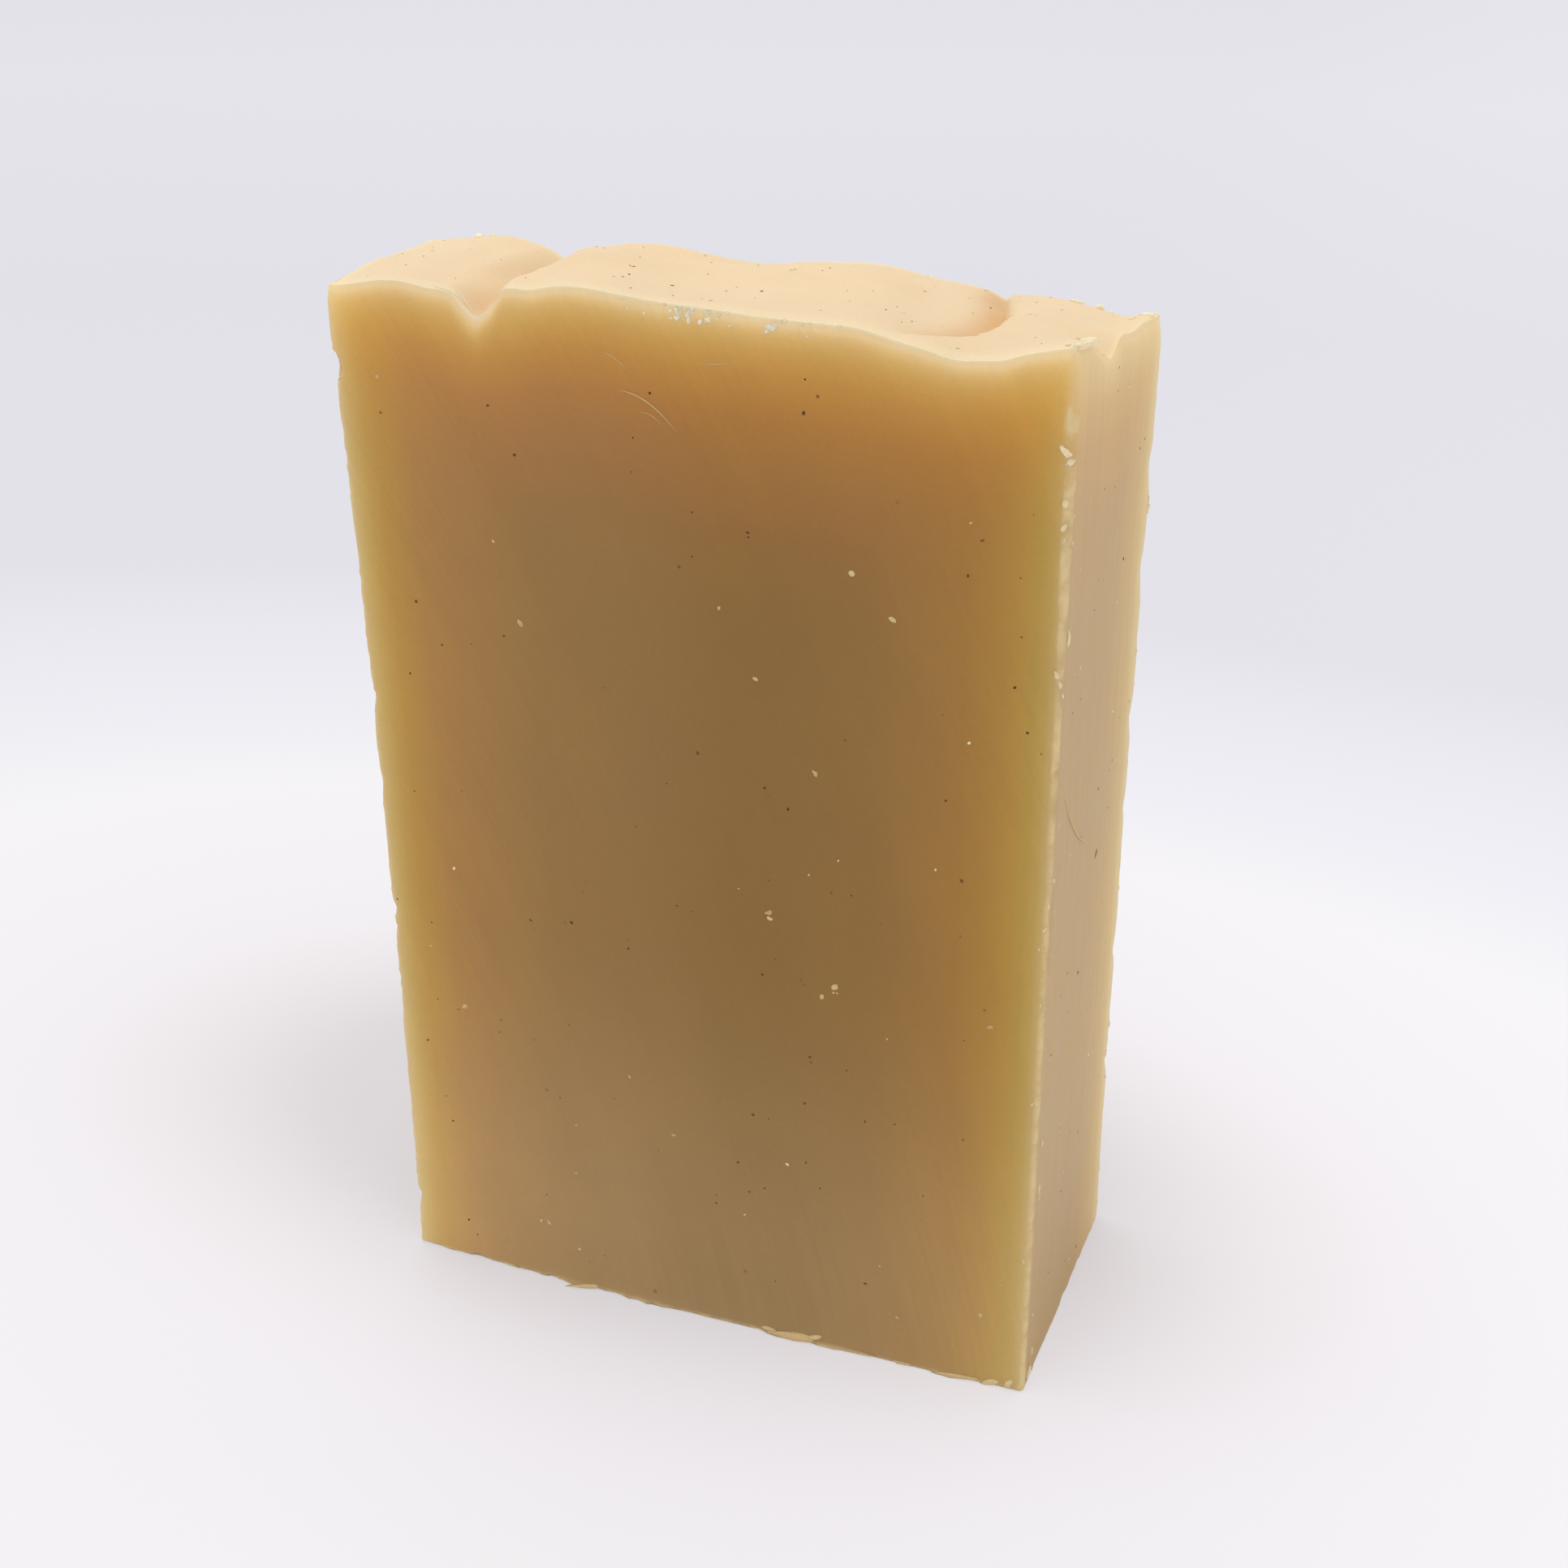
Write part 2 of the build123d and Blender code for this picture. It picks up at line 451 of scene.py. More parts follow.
# Nicks in the upright edges: (0 front or 1 back, 0 left or 1 right, height, depth, reach)
nicks = [
    (0, 0, 57.5, 0.30, 0.7),
    (0, 0, 49.5, 0.15, 1.0),
    (0, 0, 37.0, 0.32, 0.7),
    (0, 0, 28.0, 0.10, 1.4),
    (0, 0, 5.4, 0.30, 0.7),
    (0, 1, 66.5, 0.20, 1.0),
    (0, 1, 57.0, 0.25, 0.8),
    (0, 1, 44.0, 0.18, 1.0),
    (1, 1, 67.5, 0.22, 1.8),
    (1, 1, 54.0, 0.20, 1.4),
    (1, 1, 45.5, 0.35, 0.6),
    (1, 1, 31.0, 0.40, 0.7),
    (1, 1, 19.0, 0.25, 0.9),
    (1, 1, 76.0, 0.20, 1.3),
    (1, 0, 62.0, 0.30, 0.8),
    (1, 0, 33.0, 0.25, 1.0),
]
# The faint line of a second cut low on the front: places across, its heights, its steps
foot_line = ((-31, -27, -12, 2, 9), (3.4, 3.5, 4.3, 3.3, 2.4), (0, 0.1, 0.1, 0.1, 0))


def side_layout(bar):
    """Where each side lies on the bake map: its two axes and its corner, in millimetres."""
    wide, deep, tall = bar.high - bar.low + 2.5
    return [
        (1, 2, 2 * wide, 0.0),          # left
        (1, 2, 2 * wide + deep, 0.0),   # right
        (0, 2, 0.0, 0.0),               # front
        (0, 2, wide, 0.0),              # back
        (0, 1, 0.0, tall),              # base
        (0, 1, wide, tall),             # pour
    ]


def add_bake_map(mesh, bar, points, quads, sides):
    """A UV map with each side of the bar laid flat, on a square that holds them all."""
    layout = side_layout(bar)
    size = 2 * (bar.high - bar.low + 2.5)[0] + 2 * (bar.high - bar.low + 2.5)[1]
    corners = np.empty((len(quads), 4, 2))
    for side, (first, second, right, up) in enumerate(layout):
        chosen = sides == side
        place = points[quads[chosen]]
        corners[chosen, :, 0] = (place[:, :, first] - bar.low[first] + right + 1) / size
        corners[chosen, :, 1] = (place[:, :, second] - bar.low[second] + up + 1) / size
    layer = mesh.uv_layers.new(name="OFBake")
    layer.data.foreach_set("uv", corners.astype(np.float32).ravel())


def add_values(mesh, name, values):
    """Stores one number at each point of the mesh, for its material to read."""
    attribute = mesh.attributes.new(name, "FLOAT", "POINT")
    attribute.data.foreach_set("value", values.astype(np.float32))


def add_object(name, mesh, material):
    piece = bpy.data.objects.new(name, mesh)
    bpy.context.scene.collection.objects.link(piece)
    mesh.materials.append(material)
    mesh.polygons.foreach_set("use_smooth", np.ones(len(mesh.polygons), bool))
    return piece


side_names = ("left", "right", "front", "back", "pour", "base")


def add_body_values(mesh, bar, points, sunk):
    """Stores what the soap's material reads: the distance from each side, how much each
    side's colour counts, how near an edge and how worn each point is, and how much painted
    shade it gets in the hollows of the pour. sunk is that painted shade in the folds."""
    away = bar.distances(points)
    near = np.maximum(away, 0)
    # The painted glow of light below the pour follows its mean level, but for its first few millimetres
    hollow = bar.hollow(points)
    away[:, 4] += smooth((away[:, 4] - 0.4) / 4) * hollow
    for place, name in enumerate(side_names):
        add_values(mesh, "from_" + name, away[:, place])
    corner = near[:, 1] + near[:, 2]
    width = strip_line + strip_width * smooth((points[:, 2] - strip_end) / 48)
    width += 0.12 * noise(points, *layers["strip"]) + 0.1 * noise(points, *layers["strip_fine"])
    width += 0.25 * fade(away[:, 5], 5)
    add_values(mesh, "strip", np.clip((width + strip_blur - corner) / strip_blur, 0, 1))
    closest = [near[:, 2:4].min(1), near[:, 0:2].min(1), near[:, 4], near[:, 5]]
    weights = np.stack([1 / (side_blend + distance) ** 2 for distance in closest])
    weights /= weights.sum(0)
    for name, weight in zip(("cut", "wall", "pour", "base"), weights):
        add_values(mesh, name, weight)
    add_values(mesh, "edge", np.sort(near, 1)[:, 1])
    # hollow: how much painted shade each point gets in the pour's hollows
    add_values(mesh, "hollow", np.maximum(sunk, painted_hollow_shade * np.clip(hollow, 0, 1)))


def soap_body(bar, material):
    """The bar itself, as one closed mesh on the CAD surface with its wear."""
    points, quads, sides = box_grid(bar)
    points = snapped(bar, points)
    depth = bar.cad_top(points) - points[:, 2]
    lift, sunk = spoon_marks(points[:, 0], points[:, 1])
    points[:, 2] += lift * np.clip(1 - depth / fold_depth, 0, 1)
    points = worn(bar, points, point_normals(points, quads))
    mesh = bpy.data.meshes.new("soap_body")
    mesh.from_pydata((points * MM).tolist(), [], quads.tolist())
    add_bake_map(mesh, bar, points, quads, sides)
    add_body_values(mesh, bar, points, sunk)
    return add_object("soap_body", mesh, material), points, quads


# ---- materials

def linear(*levels):
    """A colour given from 0 to 255 as it looks, as the light it stands for."""
    shares = np.array(levels) / 255
    return np.where(shares <= 0.04045, shares / 12.92, ((shares + 0.055) / 1.055) ** 2.4)


class Paint:
    """One material's node tree, built with short calls. Its lengths are millimetres."""

    def __init__(self, name):
        self.material = bpy.data.materials.new(name)
        self.material.use_nodes = True
        self.tree = self.material.node_tree
        self.shader = self.tree.nodes["Principled BSDF"]
        place = self.node("ShaderNodeTexCoord").outputs["Object"]
        self.place = self.vector("SCALE", place, scale=1 / MM)

    def node(self, kind, **settings):
        node = self.tree.nodes.new(kind)
        for name, value in settings.items():
            setattr(node, name, value)
        return node

    def feed(self, socket, value):
        if isinstance(value, bpy.types.NodeSocket):
            self.tree.links.new(value, socket)
        elif socket.type == "RGBA" and len(value) == 3:
            socket.default_value = (*value, 1)
        else:
            socket.default_value = value

    def set(self, name, value):
        """Sets one of the shader's own sockets to a value, or feeds it."""
        self.feed(self.shader.inputs[name], value)

    def maths(self, operation, *values, clamp=False):
        node = self.node("ShaderNodeMath", operation=operation, use_clamp=clamp)
        for socket, value in zip(node.inputs, values):
            self.feed(socket, value)
        return node.outputs[0]

    def times(self, first, second):
        return self.maths("MULTIPLY", first, second)

    def vector(self, operation, *values, scale=None):
        node = self.node("ShaderNodeVectorMath", operation=operation)
        for socket, value in zip(node.inputs, values):
            self.feed(socket, value)
        if scale is not None:
            self.feed(node.inputs["Scale"], scale)
        return node.outputs[0]

    def value(self, name):
        """A number that the mesh holds at its points."""
        return self.node("ShaderNodeAttribute", attribute_name=name).outputs["Fac"]

    def stretched(self, x, y, z):
        """The place, scaled along each axis, so that a noise is drawn out where it is small."""
        return self.vector("MULTIPLY", self.place, (x, y, z))

    def noise(self, place, size, detail=3.0, roughness=0.55):
        node = self.node("ShaderNodeTexNoise")
        self.feed(node.inputs["Vector"], place)
        node.inputs["Scale"].default_value = 1 / size
        node.inputs["Detail"].default_value = detail
        node.inputs["Roughness"].default_value = roughness
        return node.outputs["Fac"]

    def span(self, value, low, high, to_low=0.0, to_high=1.0):
        """The value, with low to high carried smoothly to a new span and held beyond it."""
        node = self.node("ShaderNodeMapRange", interpolation_type="SMOOTHSTEP")
        for socket, number in zip(node.inputs, (value, low, high, to_low, to_high)):
            self.feed(socket, number)
        return node.outputs[0]

    def ramp(self, value, stops, reach):
        """Colours along a distance: stops are (millimetres, colour)."""
        node = self.node("ShaderNodeValToRGB")
        elements = node.color_ramp.elements
        elements.remove(elements[1])
        for number, (distance, shade) in enumerate(stops):
            element = elements.new(distance / reach) if number else elements[0]
            element.color = (*shade, 1)
        self.feed(node.inputs[0], self.maths("DIVIDE", value, reach, clamp=True))
        return node.outputs[0]

    def mix(self, share, first, second):
        node = self.node("ShaderNodeMix", data_type="RGBA")
        colours = [socket for socket in node.inputs if socket.type == "RGBA"]
        self.feed(node.inputs["Factor"], share)
        self.feed(colours[0], first)
        self.feed(colours[1], second)
        return next(socket for socket in node.outputs if socket.type == "RGBA")

    def parts(self, place):
        """The three parts of a vector or colour."""
        node = self.node("ShaderNodeSeparateXYZ")
        self.feed(node.inputs[0], place)
        return node.outputs

    def bump(self, height, distance, strength):
        """Adds relief of that many millimetres to the shader's normal."""
        node = self.node("ShaderNodeBump")
        self.feed(node.inputs["Height"], height)
        node.inputs["Distance"].default_value = distance * MM
        node.inputs["Strength"].default_value = strength
        return node.outputs[0]


def painted_glow(paint, name, stops, ground, light):
    """Painted light that glows through the soap near one side, as extra colour over the ground,
    squared, so that several can be joined as the root of their sum."""
    extra = [
        (distance, np.maximum(linear(*shade) - linear(*ground), 0) / light)
        for distance, shade in stops
    ]
    lift = paint.ramp(paint.value(name), extra, painted_glow_reach)
    return paint.vector("MULTIPLY", lift, lift)


def root(paint, colour):
    node = paint.node("ShaderNodeGamma")
    paint.feed(node.inputs["Color"], colour)
    node.inputs["Gamma"].default_value = 0.5
    return node.outputs[0]


def cut_colour(paint):
    """The knife cuts: brown inside, partly where the soap gelled and partly painted shade, and
    paler to the sides and the top, where painted light glows through the soap."""
    # Ground: the gelled soap's own brown, partly painted shade. The glows: painted light through the
    # soap near each side.
    ground = (134, 103, 56)
    left = painted_glow(paint, "from_left", [
        (0.0, (207, 187, 138)), (0.9, (196, 169, 105)), (1.4, (191, 160, 91)),
        (2.1, (184, 149, 79)), (3.2, (177, 139, 69)), (6, (165, 125, 69)),
        (9, (157, 119, 69)), (16, (145, 112, 66)), (23, (141, 109, 64)), (32, ground),
    ], ground, cut_light)
    right = painted_glow(paint, "from_right", [
        (0.0, (198, 176, 124)), (0.6, (187, 162, 103)), (1.1, (180, 151, 82)),
        (2.0, (173, 142, 68)), (3.2, (170, 134, 62)), (4.5, (164, 126, 59)),
        (7.2, (154, 115, 57)), (14.3, (140, 106, 58)), (22, ground),
    ], ground, cut_light)
    pour = painted_glow(paint, "from_pour", [
        (0.0, (234, 217, 184)), (0.5, (227, 203, 155)), (1.0, (218, 186, 124)),
        (1.6, (209, 171, 101)), (2.3, (200, 159, 85)), (3.1, (194, 148, 74)),
        (4.2, (186, 137, 65)), (5.6, (178, 128, 60)), (7.2, (169, 119, 57)),
        (10, (158, 113, 57)), (16, (143, 105, 56)), (25, ground),
    ], ground, cut_light)
    total = root(paint, paint.vector("ADD", paint.vector("ADD", left, right), pour))
    centre = tuple(linear(*ground) / cut_light)
    foot = tuple(linear(155, 128, 88) / cut_light)
    inside = paint.mix(paint.span(paint.value("from_base"), 42.0, 0.0), centre, foot)
    return paint.vector("ADD", inside, total)


def wall_colour(paint):
    """The mould faces: a duller tan, partly their own colour and partly painted light, and paler
    with painted light glowing through along the back cut and under the pour.
    """
    # Ground: partly the mould face's own tan, partly painted light. The glows: painted light through the
    # soap.
    ground = (187, 160, 120)
    edge_stops = [
        (0.0, (226, 211, 178)), (1.2, (219, 199, 152)), (2.9, (209, 182, 132)),
        (4.7, (202, 174, 126)), (6.5, (196, 168, 123)), (9, (190, 163, 121)), (13, ground),
    ]
    back = painted_glow(paint, "from_back", edge_stops, ground, wall_light)
    pour = painted_glow(paint, "from_pour", [
        (0.0, (236, 215, 176)), (1.2, (225, 200, 150)), (4, (211, 178, 127)),
        (7, (201, 166, 119)), (12, (191, 161, 120)), (20, ground),
    ], ground, wall_light)
    total = root(paint, paint.vector("ADD", back, pour))
    middle = tuple(linear(*ground) / wall_light)
    foot = tuple(linear(180, 152, 114) / wall_light)
    inside = paint.mix(paint.span(paint.value("from_base"), 26.0, 3.0), middle, foot)
    return paint.vector("ADD", inside, total)


def pour_colour(paint):
    """The poured top: cream, partly its crust's own colour and partly painted light from above,
    with painted shade of deeper orange where it is hollow and a greyer painted glow at the front rim.
    """
    # cream: partly painted light, the top lit most; deep: painted shade in hollows; rim: painted glow
    # through the thin rim
    cream = tuple(linear(244, 218, 180) / pour_light)
    deep = tuple(linear(231, 188, 136) / pour_light)
    rim = tuple(linear(238, 223, 192) / (0.7 * pour_light + 0.3 * cut_light))
    colour = paint.mix(paint.span(paint.value("hollow"), 0.1, 0.9), cream, deep)
    near_cut = paint.maths("MINIMUM", paint.value("from_front"), paint.value("from_back"))
    return paint.mix(paint.span(near_cut, 2.0, 0.1), colour, rim)


def sweep_lines(paint):
    """The place bent round the middle of the knife's sweep, for noise that makes its lines."""
    parts = paint.parts(paint.place)
    x = paint.maths("SUBTRACT", parts[0], sweep_x)
    z = paint.maths("SUBTRACT", parts[2], sweep_z)
    radius = paint.maths("SQRT", paint.maths("ADD", paint.times(x, x), paint.times(z, z)))
    angle = paint.maths("ARCTAN2", z, x)
    swept = paint.node("ShaderNodeCombineXYZ")
    paint.feed(swept.inputs[0], radius)
    paint.feed(swept.inputs[1], paint.times(angle, sweep_stretch))
    return swept.outputs[0]


def side_colours(paint, fine_lines, swept, upright):
    """The colour of each side, with the lines that it shows, blended over the edges."""
    patch = paint.noise(paint.place, 26.0, detail=1.0)
    strength = paint.span(patch, 0.42, 0.64, 0.015, 0.11)
    lines = paint.maths("SUBTRACT", fine_lines, 0.5)
    lines = paint.maths("MULTIPLY_ADD", lines, strength, 1.0)
    broad_lines = paint.noise(swept, 4.6, detail=5.0, roughness=0.65)
    bands = paint.span(broad_lines, 0.3, 0.7, 0.982, 1.018)
    lines = paint.times(lines, bands)
    cut_shade = paint.vector("SCALE", cut_colour(paint), scale=lines)
    grooves = paint.span(upright, 0.3, 0.7, 0.98, 1.02)
    wall_shade = paint.vector("SCALE", wall_colour(paint), scale=grooves)
    base_shade = tuple(linear(184, 156, 118) / wall_light)

    colour = paint.mix(paint.value("wall"), cut_shade, wall_shade)
    colour = paint.mix(paint.value("pour"), colour, pour_colour(paint))
    return paint.mix(paint.value("base"), colour, base_shade)


def rubbed_edges(paint, patches):
    """How worn each place is: the edges in uneven patches, but not the pour's rim."""
    rubbed = paint.span(paint.value("edge"), 0.62, 0.12)
    rubbed = paint.times(rubbed, paint.span(patches, 0.35, 0.6, 0.35, 1.0))
    below_rim = paint.span(paint.value("from_pour"), 1.0, 2.2)
    return paint.times(rubbed, below_rim)


def with_wear(paint, colour, rubbed, patches):
    """The colour, made paler on the worn edges and down the worn strip."""
    pale = tuple(linear(215, 196, 153) / wall_light)
    colour = paint.mix(paint.times(rubbed, 0.7), colour, pale)
    strip = paint.span(patches, 0.3, 0.6, 0.4, 1.0)
    strip = paint.times(paint.value("strip"), strip)
    return paint.mix(paint.times(strip, 0.8), colour, pale)


def with_dust(paint, colour):
    """The colour, with herb dust just under the surface as small soft dots."""
    dots = paint.node("ShaderNodeTexVoronoi")
    paint.feed(dots.inputs["Vector"], paint.place)
    dots.inputs["Scale"].default_value = 1 / dust_spacing
    near_dot = paint.span(dots.outputs["Distance"], 0.06, 0.025)
    some = paint.span(paint.parts(dots.outputs["Color"])[0], 0.5, 0.75)
    dust = paint.times(paint.times(near_dot, some), 0.5)
    return paint.mix(dust, colour, tuple(linear(112, 72, 40)))


def soap_material():
    paint = Paint("soap_finish")
    swept = sweep_lines(paint)
    fine_lines = paint.noise(swept, 0.55, detail=2.0)
    blotches = paint.noise(paint.place, 11.0, detail=4.0)
    grain = paint.noise(paint.place, 0.35, detail=3.0, roughness=0.7)
    upright = paint.noise(paint.stretched(1.0, 1.0, 0.05), 0.7, detail=3.0)
    patches = paint.noise(paint.place, 1.4, detail=4.0, roughness=0.65)
    rubbed = rubbed_edges(paint, patches)

    colour = side_colours(paint, fine_lines, swept, upright)
    colour = with_wear(paint, colour, rubbed, patches)
    tone = paint.span(blotches, 0.3, 0.7, 0.98, 1.02)
    tone = paint.times(tone, paint.span(grain, 0.3, 0.7, 0.985, 1.015))
    colour = with_dust(paint, paint.vector("SCALE", colour, scale=tone))
    paint.set("Base Color", colour)
    paint.set("Roughness", paint.span(blotches, 0.3, 0.7, 0.5, 0.62))
    paint.set("Specular IOR Level", 0.25)
    paint.set("Subsurface Weight", 0.25)
    paint.set("Subsurface Radius", (1.0, 0.55, 0.25))
    paint.set("Subsurface Scale", 1.2 * MM)

    relief = paint.times(fine_lines, paint.value("cut"))
    grooves = paint.times(upright, paint.value("wall"))
    relief = paint.maths("ADD", relief, grooves)
    relief = paint.maths("ADD", relief, paint.times(grain, 0.4))
    relief = paint.maths("ADD", relief, paint.times(rubbed, patches))
    paint.set("Normal", paint.bump(relief, 0.05, 0.6))
    return paint.material


def fleck_material():
    """Dried herb: brown to near black, and a few red."""
    paint = Paint("herb_fleck")
    shades = [
        (0.0, linear(84, 54, 28)), (0.45, linear(106, 72, 38)),
        (0.8, linear(126, 82, 42)), (1.0, linear(158, 102, 54)),
    ]
    colour = paint.ramp(paint.value("tone"), shades, 1.0)
    mottle = paint.span(paint.noise(paint.place, 0.12), 0.3, 0.7, 0.8, 1.2)
    paint.set("Base Color", paint.vector("SCALE", colour, scale=mottle))
    paint.set("Roughness", paint.span(mottle, 0.8, 1.2, 0.6, 0.8))
    paint.set("Specular IOR Level", 0.2)
    return paint.material


def crumb_material():
    """Shavings and crumbs of the soap: drier and paler than the bar."""
    paint = Paint("soap_crumb")
    shades = [
        (0.0, linear(178, 144, 94) / cut_light), (0.5, linear(206, 180, 132) / cut_light),
        (0.85, linear(229, 211, 174) / cut_light), (1.0, linear(237, 227, 202) / cut_light),
    ]
    colour = paint.ramp(paint.value("tone"), shades, 1.0)
    mottle = paint.noise(paint.place, 0.25)
    colour = paint.vector("SCALE", colour, scale=paint.span(mottle, 0.3, 0.7, 0.92, 1.06))
    paint.set("Base Color", colour)
    paint.set("Roughness", paint.span(mottle, 0.3, 0.7, 0.35, 0.6))
    paint.set("Subsurface Weight", 0.3)
    paint.set("Subsurface Radius", (1.0, 0.8, 0.6))
    paint.set("Subsurface Scale", 0.4 * MM)
    paint.set("Normal", paint.bump(mottle, 0.06, 0.7))
    return paint.material


# ---- what lies on the body

def ball(level):
    """The points and triangles of a ball of radius 1."""
    shape = bmesh.new()
    bmesh.ops.create_icosphere(shape, subdivisions=level, radius=1.0)
    points = np.array([vertex.co for vertex in shape.verts])
    triangles = np.array([[v.index for v in face.verts] for face in shape.faces])
    shape.free()
    return points, triangles


view_axes = {"front": (0, 2), "back": (0, 2), "left": (1, 2), "right": (1, 2), "top": (0, 1)}


def on_body(tree, view, first, second):
    """The place and normal on the body where a look along an axis meets it. view is one
    of front, back, left, right and top; the two numbers are the other two axes."""
    looks = {
        "front": ((first, -outside_y, second), (0, 1, 0)),
        "back": ((first, outside_y, second), (0, -1, 0)),
        "left": ((-outside_x, first, second), (1, 0, 0)),
        "right": ((outside_x, first, second), (-1, 0, 0)),
        "top": ((first, second, outside_z), (0, 0, -1)),
    }
    start, along = looks[view]
    place, normal, _, _ = tree.ray_cast(Vector(start), Vector(along))
    return (None, None) if place is None else (np.array(place), np.array(normal))


def lumps(name, tree, spots, material, level, unevenness):
    """One mesh of small lumps set on the body, or part way into it. Each spot is (view, first, second,
    length, width, height, turn in degrees, how far it is sunk, tone)."""
    unit_points, unit_triangles = ball(level)
    points, triangles, tones = [], [], []
    for number, spot in enumerate(spots):
        view, first, second, length, width, height, turn, sunk, tone = spot
        place, normal = on_body(tree, view, first, second)
        if place is None:
            continue
        lift = noise(unit_points + 5.0 * number, *layers["lumps"])
        form = unit_points * (1 + unevenness * lift)[:, None]
        form = form * (length / 2, width / 2, height / 2)
        upright = abs(normal[2]) < 0.8
        side = np.cross((0.0, 0.0, 1.0) if upright else (0.0, 1.0, 0.0), normal)
        side /= np.linalg.norm(side)
        up = np.cross(normal, side)
        angle = math.radians(turn)
        first_axis = math.cos(angle) * side + math.sin(angle) * up
        second_axis = np.cross(normal, first_axis)
        turned = form @ np.stack([first_axis, second_axis, normal])
        triangles.append(unit_triangles + len(unit_points) * len(points))
        points.append(place - normal * sunk * height / 2 + turned)
        points[-1][:, 2] = np.maximum(points[-1][:, 2], floor_gap)
        tones.append(np.full(len(unit_points), tone))
    triangles = np.concatenate(triangles).tolist()
    return toned(name, np.concatenate(points), triangles, np.concatenate(tones), material)


def toned(name, points, faces, tones, material):
    """A piece on the body, with a tone at each point for its material to read."""
    mesh = bpy.data.meshes.new(name)
    mesh.from_pydata((points * MM).tolist(), [], faces)
    add_values(mesh, "tone", tones)
    return settle(add_object(name, mesh, material))


def anywhere(random, bar, view, aside, below, above):
    """A random place on a side, in its two axes, with those margins beside, below and
    above it."""
    first, second = view_axes[view]
    return (
        random.uniform(bar.low[first] + aside, bar.high[first] - aside),
        random.uniform(bar.low[second] + below, bar.high[second] - above),
    )


def settle(piece):
    """Rides with the bar."""
    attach(piece, "root")
    return piece


# How many flecks and crumbs: larger ones on the front, and fine ones on each side
bold_flecks = 37
bold_crumbs = 18
fine_flecks = {"front": 60, "back": 95, "left": 34, "right": 34, "top": 60}
fine_crumbs = {"front": 20, "back": 46, "left": 16, "right": 16, "top": 26}

# Crumbs on the pour: (across, back, length, width, height, tone)
top_crumbs = [
    (-25.2, 8.6, 1.0, 0.8, 0.7, 1.0), (-24.2, 9.2, 0.6, 0.5, 0.5, 0.95),
    (-17.6, 9.3, 0.8, 0.6, 0.6, 1.0), (-16.7, 9.9, 1.3, 0.7, 0.6, 1.0),
    (24.6, 9.8, 1.1, 0.7, 0.6, 1.0), (26.3, 10.2, 0.9, 0.8, 0.9, 1.0),
    (27.2, 10.1, 0.6, 0.5, 0.5, 1.0), (30.0, 9.4, 1.3, 0.5, 0.5, 1.0),
    (29.2, 8.0, 0.9, 0.4, 0.4, 0.9), (4.5, 2.3, 0.7, 0.5, 0.4, 0.9),
    (19.6, -4.3, 0.6, 0.4, 0.4, 0.9), (27.5, -2.5, 0.5, 0.4, 0.4, 0.8),
    (28.4, -4.5, 0.4, 0.3, 0.3, 0.8), (14.6, 3.0, 0.4, 0.3, 0.3, 0.7),
    (22.9, 1.6, 0.5, 0.35, 0.3, 0.9), (24.7, 4.2, 0.35, 0.3, 0.3, 0.8),
    (28.4, -10.4, 0.6, 0.4, 0.3, 0.9),
]
# Clusters on the front rim: (middle across, half width, how many, largest)
rim_clusters = [
    (1.2, 1.8, 24, 0.55), (8.0, 0.8, 10, 0.6), (4.3, 0.9, 5, 0.4), (11.5, 2.6, 9, 0.35),
    (-2.6, 1.2, 4, 0.3),
]

# Flakes that hang on the edges: (view, first, second, length, width, height, turn, tone)
flakes = [
    ("front", 8.6, 0.50, 4.6, 0.7, 0.40, 3, 0.45), ("front", 10.6, 0.75, 1.5, 0.6, 0.45, 20, 0.55),
    ("front", 6.2, 0.60, 1.6, 0.4, 0.30, 175, 0.50), ("front", -11.8, 0.30, 4.0, 0.4, 0.30, 2, 0.50),
    ("front", 14.2, 0.25, 3.4, 0.4, 0.25, 4, 0.25), ("front", 23.6, 0.28, 3.8, 0.5, 0.35, 4, 0.50),
    ("front", 26.6, 0.45, 1.9, 0.6, 0.40, 25, 0.60), ("front", 28.2, 0.70, 1.0, 0.6, 0.50, 60, 0.65),
    ("front", -20.0, 0.25, 2.4, 0.3, 0.20, 1, 0.35), ("front", 18.5, 0.25, 2.2, 0.3, 0.20, 2, 0.35),
    ("right", -11.4, 1.30, 1.2, 0.6, 0.40, 70, 0.80), ("right", -10.6, 3.10, 0.9, 0.4, 0.30, 95, 0.70),
    ("front", 28.9, 84.3, 1.1, 0.5, 0.40, 130, 0.85), ("front", 29.1, 83.6, 0.8, 0.5, 0.35, 20, 0.85),
    ("front", 29.0, 80.6, 0.9, 0.5, 0.35, 80, 0.75), ("front", 29.0, 78.9, 0.6, 0.4, 0.30, 60, 0.75),
    ("right", -10.9, 70.4, 1.3, 0.35, 0.30, 88, 0.80), ("front", 29.2, 67.0, 0.8, 0.35, 0.30, 100, 0.75),
    ("right", 11.2, 72.6, 0.9, 0.5, 0.40, 90, 0.80), ("right", 11.0, 60.2, 0.7, 0.4, 0.35, 80, 0.75),
    ("left", -9.6, 84.2, 0.9, 0.3, 0.30, 75, 0.75), ("left", -10.4, 74.6, 0.8, 0.3, 0.25, 85, 0.70),
    ("top", 29.3, -8.6, 3.4, 1.2, 0.60, 86, 0.90), ("top", 29.1, -10.3, 1.7, 1.0, 0.60, 30, 0.88),
]
# Rows of small flakes at random down an edge: (view, place across the view, how many)
flake_rows = [("right", -10.9, 16), ("front", 29.3, 12), ("front", -29.0, 12), ("right", 11.6, 14),
              ("left", 11.0, 8), ("back", -30.0, 8), ("back", 30.0, 8)]

